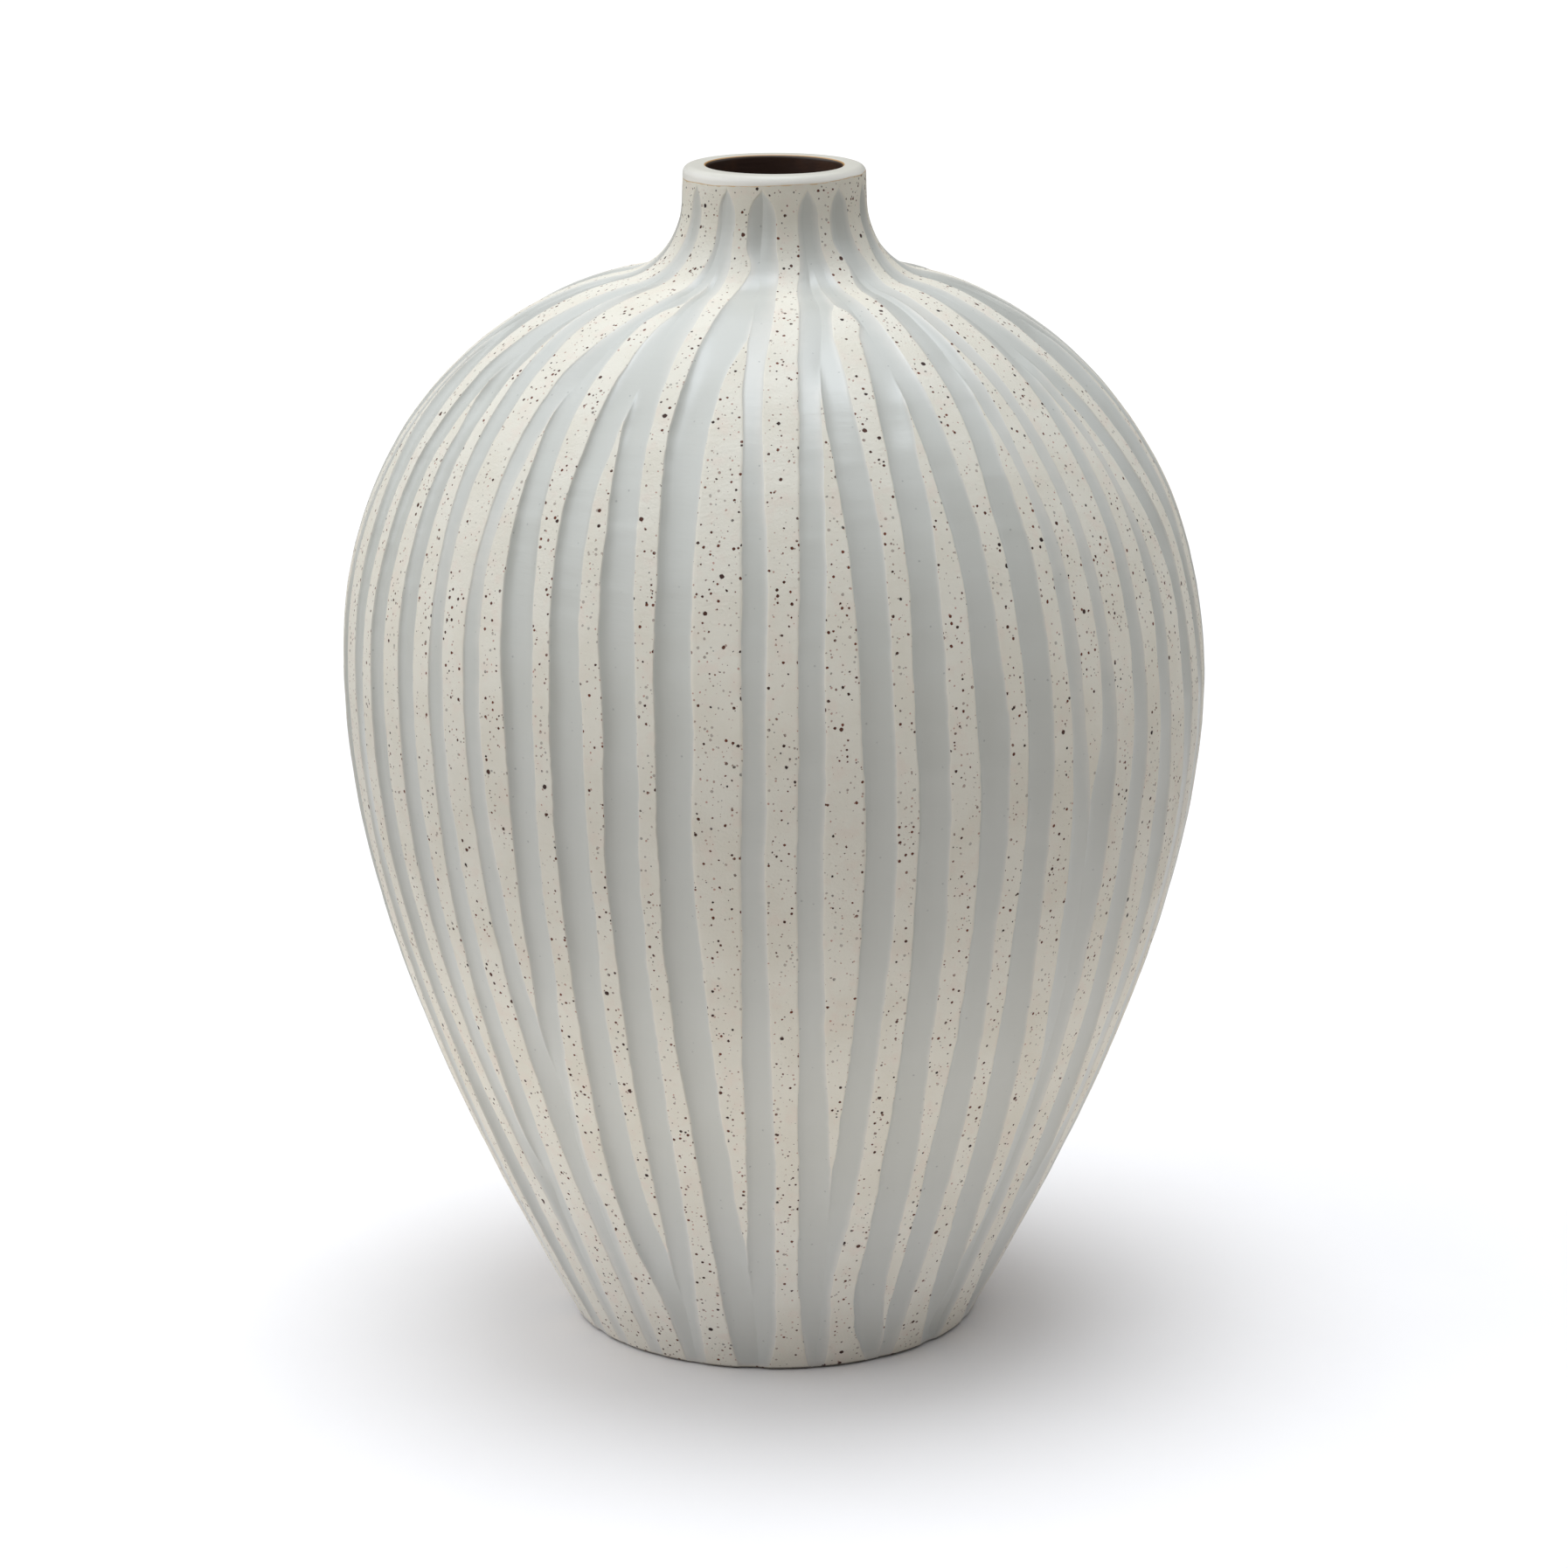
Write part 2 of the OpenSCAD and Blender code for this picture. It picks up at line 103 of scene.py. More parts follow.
FRONT_LANDS = [
  [0, 139, [[0, -74, -68], [50, -74, -69.2], [80, -75, -70.2], [100, -76.5, -71.5],
    [120, -79, -74.6], [139, -81, -81], [156, -82.3, -82.3]]],
  [0, 165, [[0, -66, -61], [45, -64.8, -61.3], [65, -65.9, -63], [85, -67.6, -64],
    [100, -67.8, -64.8], [130, -70.8, -67.5], [140, -73.4, -68.4], [147, -75.5, -66],
    [156, -80, -62]]],
  [0, 139, [[0, -54.6, -48.4], [20, -54.2, -49.2], [30, -54.7, -50.7], [45, -56.3, -53.2],
    [60, -58.2, -54.6], [100, -60.4, -56.4], [120, -61.8, -58.4], [132, -62.6, -59.8],
    [139, -62.4, -62.4], [156, -58.3, -58.3]]],
  [37, 148, [[0, -46.8, -46.8], [37, -48.3, -48.3], [45, -49.8, -47.9], [65, -50.9, -48.3],
    [85, -51.9, -48.4], [100, -52.6, -49.2], [120, -54.5, -51], [142, -56.9, -55.1],
    [148, -57.4, -57.4], [156, -54.7, -54.7]]],
  [0, 165, [[0, -45, -36.7], [12, -44.4, -37.3], [30, -43.5, -38.8], [50, -43.9, -39.8],
    [75, -44.9, -41], [100, -46.2, -42.5], [115, -47.7, -43.4], [140, -49.9, -43.8],
    [150, -51.3, -38.2], [156, -51, -36.5]]],
  [56, 137, [[0, -34.5, -34.5], [56, -36, -36], [62, -37, -35.5], [75, -37.8, -35],
    [90, -39.2, -35.2], [105, -39.8, -36.1], [120, -41, -38], [130, -40.5, -38.8],
    [137, -40, -40], [156, -33.4, -33.4]]],
  [0, 149.5, [[0, -32.3, -24.8], [10, -32.5, -26.3], [22, -33, -29.4], [32, -34.1, -30.1],
    [50, -32.7, -28.9], [70, -31.1, -28.3], [100, -31, -28.7], [130, -34.5, -30.7],
    [140, -35.3, -30.6], [147, -34.5, -29.3], [148.3, -33, -28.3], [149.5, -28.7, -28.7],
    [156, -30.2, -30.2]]],
  [20, 136.5, [[0, -21.8, -21.8], [20, -21.9, -21.9], [26, -23.5, -21.5], [35, -24.1, -21.5],
    [80, -23.7, -21.5], [100, -24, -21.4], [115, -25.3, -22.5], [128, -26, -23.8],
    [136.5, -25.3, -25.3], [156, -27.1, -27.1]]],
  [0, 165, [[0, -19.3, -9.7], [10, -17.8, -11.6], [22, -16.5, -12.1], [45, -16.5, -13.4],
    [70, -17, -14.5], [100, -16.8, -14.5], [120, -18.2, -15.3], [138, -20, -16.6],
    [147, -20.2, -15.6], [150, -22, -14.9], [153, -22.8, -11], [156, -24.2, -15.5]]],
  [22, 146.5, [[0, -4.5, -4.5], [22, -5.4, -5.4], [27, -6.4, -4.8], [40, -7.6, -4.5],
    [60, -9.1, -4.4], [85, -10, -4], [100, -9.8, -3.6], [120, -10.3, -3.8],
    [135, -10.1, -4.3], [142, -8.9, -5.1], [144.5, -7.2, -5], [146.7, -5.2, -5.2], [156, -7.3, -7.3]]],
  [0, 165, [[0, -2, 9.3], [5, -0.1, 7.3], [10, 0.3, 5.8], [25, 0.3, 4.6], [65, -0.8, 3.2],
    [85, -1.1, 2.9], [120, -0.4, 3.9], [142, -1.2, 5.6], [150, 1, 9], [153, 2.2, 12.8],
    [156, 0.8, 14.3]]],
  [34, 140, [[0, 11.2, 11.2], [34, 9.8, 9.8], [40, 8.9, 10.3], [50, 7.8, 10.7],
    [65, 6.7, 11.3], [85, 6.2, 11.5], [100, 6.6, 11], [115, 7.1, 11], [130, 8.1, 10.2],
    [140, 9.4, 9.4], [156, 17.7, 17.7]]],
  [0, 149, [[0, 13.5, 26.5], [3, 14, 23], [8, 13.6, 19.4], [15, 12.6, 17.9], [27, 14, 18.5],
    [45, 14.8, 18.4], [85, 15.5, 18.3], [100, 15.2, 17.8], [120, 15.5, 18.4],
    [138, 15, 19.3], [146, 15.4, 21.8], [147.5, 16.3, 23.8], [148.6, 17.8, 22.8], [149.4, 20, 20],
    [156, 21.1, 21.1]]],
  [3, 138.5, [[0, 29.8, 29.8], [3, 29.5, 29.5], [10, 26.7, 27.9], [17, 24.8, 27.3],
    [35, 24.4, 26.9], [55, 23.2, 26.9], [85, 22.6, 26.6], [100, 22.1, 26.2],
    [120, 22.8, 25.9], [132, 23.6, 25.4], [138.5, 25, 25], [156, 24.6, 24.6]]],
  [0, 165, [[0, 34.2, 45], [5, 34.2, 42.3], [12, 33.4, 39.2], [25, 32.8, 36.9],
    [50, 31.7, 34.7], [75, 30.6, 33.4], [90, 30.8, 33.5], [122, 30.1, 33.2],
    [137, 30.1, 34.6], [147, 29.8, 35.3], [150, 29.3, 36], [153, 28.5, 40], [156, 28, 36]]],
  [15.5, 139, [[0, 49, 49], [15.5, 45.2, 45.2], [22, 43.6, 46], [40, 41.1, 45.2],
    [47, 40.3, 45.1], [60, 38.9, 42.8], [80, 37.5, 41.4], [100, 37.5, 40.5],
    [130, 37.9, 40.6], [139, 39.7, 39.7], [156, 42, 42]]],
  [86, 147.5, [[0, 51, 51], [20, 48.5, 48.5], [45, 47.3, 47.3], [70, 45.5, 45.5],
    [86, 44.2, 44.2], [92, 43.5, 45.2], [98, 43, 46], [110, 43, 46.5], [122, 42.9, 46.3],
    [131, 42.2, 46], [140, 43.4, 45.6], [143, 43.4, 44.8], [147.5, 43.9, 43.9],
    [156, 47.5, 47.5]]],
  [0, 165, [[0, 53, 66.5], [5, 52.3, 61.9], [12, 51.3, 58], [30, 50.3, 55], [50, 49.4, 53.4],
    [80, 48.6, 52], [100, 48.9, 52.8], [130, 48.7, 54], [140, 48.8, 55.1], [148, 48.7, 57.8],
    [153, 54.5, 63], [156, 52, 66]]],
  [30, 138, [[0, 69, 69], [5, 65.5, 65.5], [15, 62.8, 62.8], [30, 61.9, 61.9],
    [37, 60.4, 62.8], [50, 58.8, 62.5], [65, 56.7, 61.3], [80, 55.8, 59.8],
    [100, 56.1, 59.5], [115, 56.2, 60.3], [130, 57.1, 60], [138, 58.8, 58.8],
    [148, 61, 61], [156, 69.5, 69.5]]],
  [0, 139, [[0, 71.5, 74.5], [40, 65.5, 70], [60, 65.7, 69.8], [75, 64.8, 69.6],
    [100, 62.5, 67.3], [110, 63.2, 67.8], [120, 62.4, 66.3], [130, 61.7, 64.2],
    [139, 62.2, 62.2], [148, 64.6, 64.6], [156, 74, 74]]],
  [0, 165, [[0, 77, 82], [60, 73, 77], [100, 71.5, 75], [115, 71.5, 74.8],
    [130, 68.8, 72.8], [140, 67.6, 71.9], [147, 68, 76], [156, 79, 90]]]
]

BACK_COUNT = 28
NECK_PLACES = [[-1, 0], [2, 1], [6, 2], [9, 3], [12, 4], [16, 5], [19, 6], [23, 7], [26, 8], [29, 9]]


def mix(a, b, share):
    """The value that lies a share of the way from a to b."""
    return a + (b - a) * share


def wave(degrees):
    """Unevenness of the hand from one back land to the next, from -1 to 1."""
    return math.sin(math.radians(degrees))


def back_land(j):
    """Land j of the back, which the front's habit of tapering and joining is carried on to."""
    belly = 73.2 + 7.26 * (j + 1) + 0.4 * wave(140 * j)
    foot = 79.5 + 7.24 * (j + 1)
    place = float(np.interp(j, [p[0] for p in NECK_PLACES], [p[1] for p in NECK_PLACES]))
    whole, part = divmod(place, 1)
    neck = 84.5 + 22.7 * whole + (5.8 + 11.1 * part if part else 0)
    half = 1.8 + 0.5 * wave(97 * j + 30)
    to_foot = j % 2 == 1 and j < 27
    low = 0 if to_foot else 30 + 14 * wave(61 * j)
    high = 141 + 5 * wave(113 * j) if part else 165
    flare = mix(foot, belly, 0.3)
    if to_foot:
        lower = [[0, foot - 4.4, foot + 4.6], [12, flare - 2.8, flare + 2.9]]
    else:
        tail = mix(foot, belly, 0.6)
        lower = [[0, foot, foot], [low, mix(foot, belly, 0.5), mix(foot, belly, 0.5)],
                 [low + 12, tail - 1, tail + 1]]
    if part:
        tip = mix(belly, neck, 0.12)
        upper = [[high - 14, tip - 1.3, tip + 1.3], [high, mix(belly, neck, 0.25), mix(belly, neck, 0.25)],
                 [156, neck, neck]]
    else:
        rise, turn = mix(belly, neck, 0.2), mix(belly, neck, 0.5)
        upper = [[132, rise - 1.8, rise + 1.8], [147, turn - 3, turn + 3.2], [156, neck - 5.8, neck + 5.8]]
    middle = [[75, belly - half, belly + half], [108, belly - half, belly + half]]
    return [low, high, lower + middle + upper]


LANDS = FRONT_LANDS + [back_land(j) for j in range(BACK_COUNT)]
COUNT = len(LANDS)


# ----------------------------------------------------------------- helpers


def smoothstep(low, high, value):
    """0 at low and 1 at high, easing in and out between them."""
    share = np.clip((value - low) / (high - low), 0, 1)
    return share * share * (3 - 2 * share)


def bezier(a, b, c, d, count):
    """Points along the Bezier curve from a to d, with handles b and c."""
    t = np.linspace(0, 1, count)[:, None]
    a, b, c, d = (np.asarray(p, float) for p in (a, b, c, d))
    return (1 - t) ** 3 * a + 3 * t * (1 - t) ** 2 * b + 3 * t * t * (1 - t) * c + t ** 3 * d


def smooth_curve(stations, values, at):
    """A smooth curve through given values that never swings past them."""
    x, y, at = (np.asarray(v, float) for v in (stations, values, at))
    steps = np.diff(x)
    slopes = np.diff(y) / steps
    tangents = np.zeros(len(x))
    same_way = slopes[1:] * slopes[:-1] > 0
    pair = slopes[1:] + slopes[:-1]
    tangents[1:-1][same_way] = (2 * slopes[1:] * slopes[:-1])[same_way] / pair[same_way]
    tangents[0], tangents[-1] = slopes[0], slopes[-1]
    i = np.clip(np.searchsorted(x, at) - 1, 0, len(steps) - 1)
    t = np.clip((at - x[i]) / steps[i], 0, 1)
    rise = t * t * (3 - 2 * t)
    bend = tangents[i] * t * (1 - t) ** 2 - tangents[i + 1] * t * t * (1 - t)
    return mix(y[i], y[i + 1], rise) + bend * steps[i]


def ripple(at, step, seed):
    """Smooth random wobble from -1 to 1 along a line, a new value every `step`."""
    knots = np.random.default_rng(seed).uniform(-1, 1, int(HEIGHT / step) + 3)
    i = np.floor(at / step).astype(int)
    return mix(knots[i], knots[i + 1], smoothstep(0, 1, at / step - i))


def skin_noise(angle, height, across, step, seed):
    """Smooth random wobble over the wall: `across` cells round it, each `step` high."""
    grid = np.random.default_rng(seed).uniform(-1, 1, (int(HEIGHT / step) + 3, across))
    u = angle / 360 % 1 * across
    v = np.clip(height, 0, HEIGHT) / step
    i, j = np.floor(v).astype(int), np.floor(u).astype(int) % across
    su, sv = smoothstep(0, 1, u - np.floor(u)), smoothstep(0, 1, v - i)
    near = mix(grid[i, j], grid[i, (j + 1) % across], su)
    far = mix(grid[i + 1, j], grid[i + 1, (j + 1) % across], su)
    return mix(near, far, sv)


# ----------------------------------------------------------------- outline


def wall_outline():
    """Rows of the fluted wall, (radius, height), evenly spaced from foot to collar."""
    foot = np.array([FOOT_R, 0.0])
    belly = np.array([BELLY_R, BELLY_Z])
    lean = 22 * np.array([math.sin(FOOT_LEAN), math.cos(FOOT_LEAN)])
    fine = np.vstack([
        bezier(foot, foot + lean, belly - [0, 36], belly, 200),
        bezier(belly, belly + [0, 37], SHOULDER - 14 * SHOULDER_SLOPE, SHOULDER, 200)[1:],
        bezier(SHOULDER, SHOULDER + 5 * SHOULDER_SLOPE,
               [NECK_R + 0.35, NECK_Z - 5], [NECK_R, NECK_Z], 80)[1:],
        [[NECK_R - 0.1, COLLAR_Z]],
    ])
    length = np.concatenate([[0], np.cumsum(np.hypot(*np.diff(fine, axis=0).T))])
    rows = np.linspace(0, length[-1], int(length[-1] / ROW_STEP))
    rows = np.concatenate([[0, 0.12, 0.3], rows[1:]])
    return np.column_stack([np.interp(rows, length, fine[:, i]) for i in (0, 1)])


OUTLINE = wall_outline()
Z = OUTLINE[:, 1]
TANGENT = np.gradient(OUTLINE, axis=0)
TANGENT /= np.linalg.norm(TANGENT, axis=1)[:, None]
NORMAL = np.column_stack([TANGENT[:, 1], -TANGENT[:, 0]])
NORMAL = np.array([1, 0]) + (NORMAL - [1, 0]) * np.clip(Z / 4, 0, 1)[:, None]
DEGREES_PER_MM = 180 / math.pi / OUTLINE[:, 0]


# ------------------------------------------------------------------ flutes


def ragged(seed):
    """The unsteady hand and the torn edge of a cut, in degrees at each row."""
    hand = 0.16 * ripple(Z, 9, seed) + 0.07 * ripple(Z, 3.1, seed + 1)
    torn = 0.05 * ripple(Z, 1.3, seed + 2) + 0.035 * ripple(Z, 0.7, seed + 3)
    return (hand + torn) * DEGREES_PER_MM


def land_edges():
    """Left and right edge of every land at every row. A crest keeps a hair of width."""
    left, right = np.empty((2, COUNT, len(Z)))
    for k, (low, high, stations) in enumerate(LANDS):
        heights = [s[0] for s in stations] + [HEIGHT]
        lefts = [s[1] for s in stations] + [stations[-1][1]]
        rights = [s[2] for s in stations] + [stations[-1][2]]
        left[k] = smooth_curve(heights, lefts, Z) + ragged(10 * k)
        right[k] = smooth_curve(heights, rights, Z) + ragged(10 * k + 5)
    middle, half = (left + right) / 2, np.maximum((right - left) / 2, HAIR * DEGREES_PER_MM)
    return middle - half, middle + half


LEFT, RIGHT = land_edges()
TO_COLLAR = [k for k in range(COUNT) if LANDS[k][1] > 160]
TO_FOOT = [k for k in range(COUNT) if LANDS[k][0] == 0]
ARCH_TOP = COLLAR_Z - 1.0


def neighbour(k, way, family):
    """Nearest land of the family, from land k towards the left (-1) or right (1)."""
    while k % COUNT not in family:
        k += way
    return k


def edge_at(edges, k):
    """Edge of land k, where land numbers run on past the last land."""
    return edges[k % COUNT] + 360 * (k // COUNT)


def arch():
    """Width left to a neck groove at each row: 1 below its pointed end, 0 above."""
    rise = np.clip((Z - ARCH_Z) / (ARCH_TOP - ARCH_Z), 0, 1)
    return np.maximum((1 - rise ** 2) ** 0.62, 0.02)


ARCH = arch()


def past_tip(k):
    """How far each row lies beyond the tip of land k; negative along the land itself."""
    low, high = LANDS[k % COUNT][:2]
    return np.maximum(Z - high, low - Z if low > 0 else -1.0)


def joined(k):
    """0 where land k stands between its flutes, rising to 1 where they have become one groove.

    The crest that a land leaves behind fades soon above its upper tip and slowly below its tail.
    """
    low, high = LANDS[k % COUNT][:2]
    above = 0.94 * smoothstep(0, 4.5, Z - high) + 0.06 * smoothstep(4.5, 10, Z - high)
    below = smoothstep(-1, 12, low - Z) if low > 0 else 0 * Z
    return np.maximum(above, below)


def group_edges(k, family):
    """Edges of the wide groove that flute k becomes part of, between two lands of the family."""
    return edge_at(RIGHT, neighbour(k, -1, family)), edge_at(LEFT, neighbour(k + 1, 1, family))


def flute_columns(k):
    """Angles and depths of flute k, which lies to the right of land k, at every row."""
    above, below = group_edges(k, TO_COLLAR), group_edges(k, TO_FOOT)
    centre = (above[0] + above[1])[np.searchsorted(Z, ARCH_Z)] / 2
    own_left, own_right = edge_at(RIGHT, k), edge_at(LEFT, k + 1)
    t = FLUTE_COLUMNS[None, :]
    angle = mix(own_left[:, None], own_right[:, None], t)
    left_sunk, right_sunk = (smoothstep(0, 4, past_tip(side))[:, None] for side in (k, k + 1))
    crest = CREST_DEPTH * mix(left_sunk, right_sunk, t)
    alone = crest + groove_depth(angle, (own_left, own_right))
    wide = np.where(Z[:, None] > BELLY_Z, groove_depth(angle, above), groove_depth(angle, below))
    together = mix(joined(k)[:, None], joined(k + 1)[:, None], t)
    return mix(centre, angle, ARCH[:, None]), mix(alone, wide, together) * end_fade()


def bowl_shape(across):
    """Section of a flute, 1 at its deepest and 0 at its edges: steep cut walls and a gentle floor."""
    return 0.55 * (1 - np.abs(across) ** 12) + 0.45 * (1 - np.abs(across) ** 2.2)


def end_fade():
    """The loop tool lifts out of the clay under the collar, and cuts less over the foot's edge."""
    return (smoothstep(0.02, 0.5, ARCH) * mix(0.45, 1, smoothstep(0, 3, Z)))[:, None]


def tool_reach():
    """The loop tool cuts less deep in the hollow between shoulder and neck."""
    return 1 - 0.45 * smoothstep(136, 147, Z) * smoothstep(157, 152, Z)


def groove_depth(angle, edges):
    """Depth at an angle of a groove cut between two edges."""
    left, right = edges[0][:, None], edges[1][:, None]
    width = (right - left) / DEGREES_PER_MM[:, None]
    deepest = np.minimum(width ** 2 / (8 * LOOP_R), FLUTE_DEPTH) * tool_reach()[:, None]
    across = 2 * np.clip((angle - left) / (right - left), 0, 1) - 1
    return deepest * bowl_shape(across) * (1.1 - 0.35 * across)


def land_columns(before, after):
    """Angles and depths across a land, between the flutes before and after it."""
    s = LAND_COLUMNS[None, 1:-1]
    return mix(before[0][:, -1:], after[0][:, :1], s), mix(before[1][:, -1:], after[1][:, :1], s)


def fluted_skin():
    """Angle and depth at every row and column all round the vase."""
    flutes = [flute_columns(k) for k in range(COUNT)]
    angles, depths = [], []
    for k in range(COUNT):
        before = flutes[k - 1]
        if k == 0:
            before = (before[0] - 360, before[1])
        land = land_columns(before, flutes[k])
        angles += [land[0], flutes[k][0]]
        depths += [land[1], flutes[k][1]]
    return np.hstack(angles), np.hstack(depths)


ANGLE, DEPTH = fluted_skin()
COLUMNS = ANGLE.shape[1]


def foot_rounding():
    """How far the wall draws in where its lower edge is sponged round."""
    drop = np.clip(1 - Z / FOOT_EDGE, 0, 1)
    return FOOT_EDGE * (1 - np.sqrt(1 - drop ** 2))


def throwing_lines():
    """The faint rings that the potter's fingers leave, in millimetres."""
    rings = 0.035 * ripple(Z, 4.3, 901) + 0.02 * ripple(Z, 1.7, 902)
    return rings * (1 - smoothstep(158, 162, Z))


def lean():
    """The shoulder was pushed a little to the left while the clay was soft, in millimetres."""
    return -0.4 * smoothstep(90, 112, Z) - 0.2 * smoothstep(118, 132, Z) + 0.6 * smoothstep(145, 152, Z)


def on_wall(depth):
    """Points of the wall, sunk by depth along its normal, as rows x columns x 3."""
    sunk = OUTLINE[:, None, :] - (depth + throwing_lines()[:, None])[..., None] * NORMAL[:, None, :]
    radius = sunk[..., 0] - foot_rounding()[:, None]
    turn = np.radians(ANGLE)
    across = radius * np.sin(turn) + lean()[:, None]
    return np.stack([across, -radius * np.cos(turn), np.maximum(sunk[..., 1], 0)], axis=-1)


# ------------------------------------------------------------------ meshes


def add_piece(name, points, faces, node, material, values=None):
    """Makes one piece from millimetre points, in place of a CAD node."""
    mesh = bpy.data.meshes.new(name)
    mesh.from_pydata((points * MM).tolist(), [], faces)
    mesh.shade_smooth()
    mesh.set_sharp_from_angle(angle=math.radians(75))
    for key, numbers in (values or {}).items():
        layer = mesh.attributes.new(key, "FLOAT", "POINT")
        layer.data.foreach_set("value", np.asarray(numbers, np.float32).ravel())
    mesh.materials.append(material)
    piece = bpy.data.objects.new(name, mesh)
    bpy.context.scene.collection.objects.link(piece)
    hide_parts(node)
    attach(piece, "root")
    return piece


def grid_faces(rows, columns, first=0):
    """Quads between rings of points that follow each other, closed round the axis."""
    i, j = np.meshgrid(np.arange(rows - 1), np.arange(columns), indexing="ij")
    near, far = first + i * columns, first + (i + 1) * columns
    after = (j + 1) % columns
    return np.stack([near + j, near + after, far + after, far + j], axis=-1).reshape(-1, 4)


def rings(profile, angles):
    """Rings of points for (radius, height) pairs, at the given angles."""
    turn = np.radians(angles)
    profile = np.asarray(profile, float)
    radius, height = profile[:, :1], profile[:, 1:]
    return np.stack([radius * np.sin(turn), -radius * np.cos(turn), height + 0 * turn], axis=-1)


def fan(ring_start, columns, centre, upward):
    """Triangles from a ring of points to the centre point that closes it."""
    ring = np.arange(columns)
    pairs = np.column_stack([ring_start + ring, ring_start + (ring + 1) % columns])
    return [[int(a), int(b), centre] if upward else [int(b), int(a), centre] for a, b in pairs]


def arc(centre, radius, start, end, count):
    """Points round a centre from one angle to another."""
    turn = np.radians(np.linspace(start, end, count))
    return np.asarray(centre) + radius * np.column_stack([np.cos(turn), np.sin(turn)])


def chamber_outline(grow):
    """(radius, height) down the inside wall, from the bore to the floor of the chamber."""
    bore, side = MOUTH_R + grow, CHAMBER_R + grow
    up = np.vstack([
        bezier([16, FLOOR_Z - grow], [29, FLOOR_Z - grow], [side, BELLY_Z - 46], [side, BELLY_Z], 26),
        bezier([side, BELLY_Z], [side, BELLY_Z + 33], [34, 143.5 + grow], [19, 146.8 + grow], 20)[1:],
        bezier([19, 146.8 + grow], [14, 147.9 + grow], [bore, 148.8 + grow], [bore, 152.5 + grow], 10)[1:],
    ])
    return up[::-1]


BORE_R = MOUTH_R + GLAZE_T
SEAM_Z = HEIGHT - MOUTH_EDGE_R


def lip_surface():
    """Outer surface of the lip, (radius, height): up the collar, over the edge, across the flat and in."""
    outside = BORE_R + LIP_WALL + GLAZE_T
    edge = np.array([outside - LIP_EDGE_R, HEIGHT - LIP_EDGE_R])
    collar = [np.linspace(OUTLINE[-1][0] + 0.02, outside, 9), np.linspace(COLLAR_Z - 0.6, edge[1], 9)]
    return np.vstack([
        np.column_stack(collar),
        arc(edge, LIP_EDGE_R, 0, 90, 16)[1:],
        arc([MOUTH_R + MOUTH_EDGE_R, SEAM_Z], MOUTH_EDGE_R, 90, 180, 12),
    ])


LIP = lip_surface()
LIP_ALONG = np.concatenate([[0], np.cumsum(np.hypot(*np.diff(LIP, axis=0).T))])
LIP_TANGENT = np.gradient(LIP, axis=0)
LIP_TANGENT /= np.linalg.norm(LIP_TANGENT, axis=1)[:, None]
LIP_NORMAL = np.column_stack([LIP_TANGENT[:, 1], -LIP_TANGENT[:, 0]])


def past_glaze_line(angles):
    """Distance along the lip past the wavy edge of its glaze, which is lowest at the left."""
    wavy = 0.1 * skin_noise(np.asarray(angles), 5.0, 26, 10, 41)
    line = 0.66 - 0.46 * np.cos(np.radians(np.asarray(angles) + 75)) + wavy
    return LIP_ALONG[:, None] - line[None, :]


def lip_glaze_thickness(angles):
    """Glaze on the lip at every ring and angle, which swells to the lining's thickness at the bore."""
    thick = LIP_GLAZE_T * smoothstep(0, 1.4, past_glaze_line(angles))
    to_bore = smoothstep(LIP_ALONG[-1] - 1.5, LIP_ALONG[-1], LIP_ALONG)[:, None]
    return mix(thick, GLAZE_T, to_bore)


def rim_lift(angles, height):
    """The thrown rim isn't quite level: it stands 0.2 mm higher at the back."""
    return 0.1 * (1 - np.cos(np.radians(angles))) * smoothstep(COLLAR_Z - 0.6, SEAM_Z, height)


def lip_shell(angles, sunk):
    """Rings of the lip's surface, sunk by some thickness."""
    turn = np.radians(angles)
    radius = LIP[:, :1] - sunk * LIP_NORMAL[:, :1]
    height = LIP[:, 1:] - sunk * LIP_NORMAL[:, 1:] + rim_lift(angles, LIP[:, 1:])
    return np.stack([radius * np.sin(turn), -radius * np.cos(turn), height], axis=-1)


def build_clay(material):
    """The clay: hollow under the foot, fluted wall, rim, and the inside of bore and chamber."""
    wall = on_wall(DEPTH)
    lip_angles = ANGLE[-1]
    above = LIP[:, 1] > COLLAR_Z + 0.05
    rim = lip_shell(lip_angles, lip_glaze_thickness(lip_angles))[above]
    underside = [[RECESS_R + 0.8, 0], [RECESS_R + 0.3, 0.12], [RECESS_R - 0.2, 0.7],
                 [RECESS_R - 1.6, 1.5], [RECESS_R - 4, RECESS_DEPTH]]
    below = rings(underside[::-1], ANGLE[0])
    inside = rings(chamber_outline(GLAZE_T), lip_angles)
    stack = np.concatenate([below, wall, rim, inside])
    points = stack.reshape(-1, 3)
    count = len(points)
    points = np.vstack([points, [[0, 0, RECESS_DEPTH], [0, 0, FLOOR_Z - GLAZE_T]]])
    faces = grid_faces(len(stack), COLUMNS).tolist()
    faces += fan(0, COLUMNS, count, upward=False)
    faces += fan(count - COLUMNS, COLUMNS, count + 1, upward=True)
    return add_piece("fluted_clay", points, faces, "clay_body", material)


def glaze_thickness():
    """Glaze at every row and column: thin on the edges, pooled in the cuts, none near the foot."""
    start = 0.4 + 0.2 * skin_noise(ANGLE, Z[:, None], 90, 400, 31)
    thick = np.minimum(0.42 * DEPTH, FLUTE_GLAZE_T) * (1 + 0.12 * skin_noise(ANGLE, Z[:, None], 160, 5, 32))
    thick = thick * smoothstep(0, 0.8, Z[:, None] - start)
    return np.where(thick < 0.004, 0, thick)


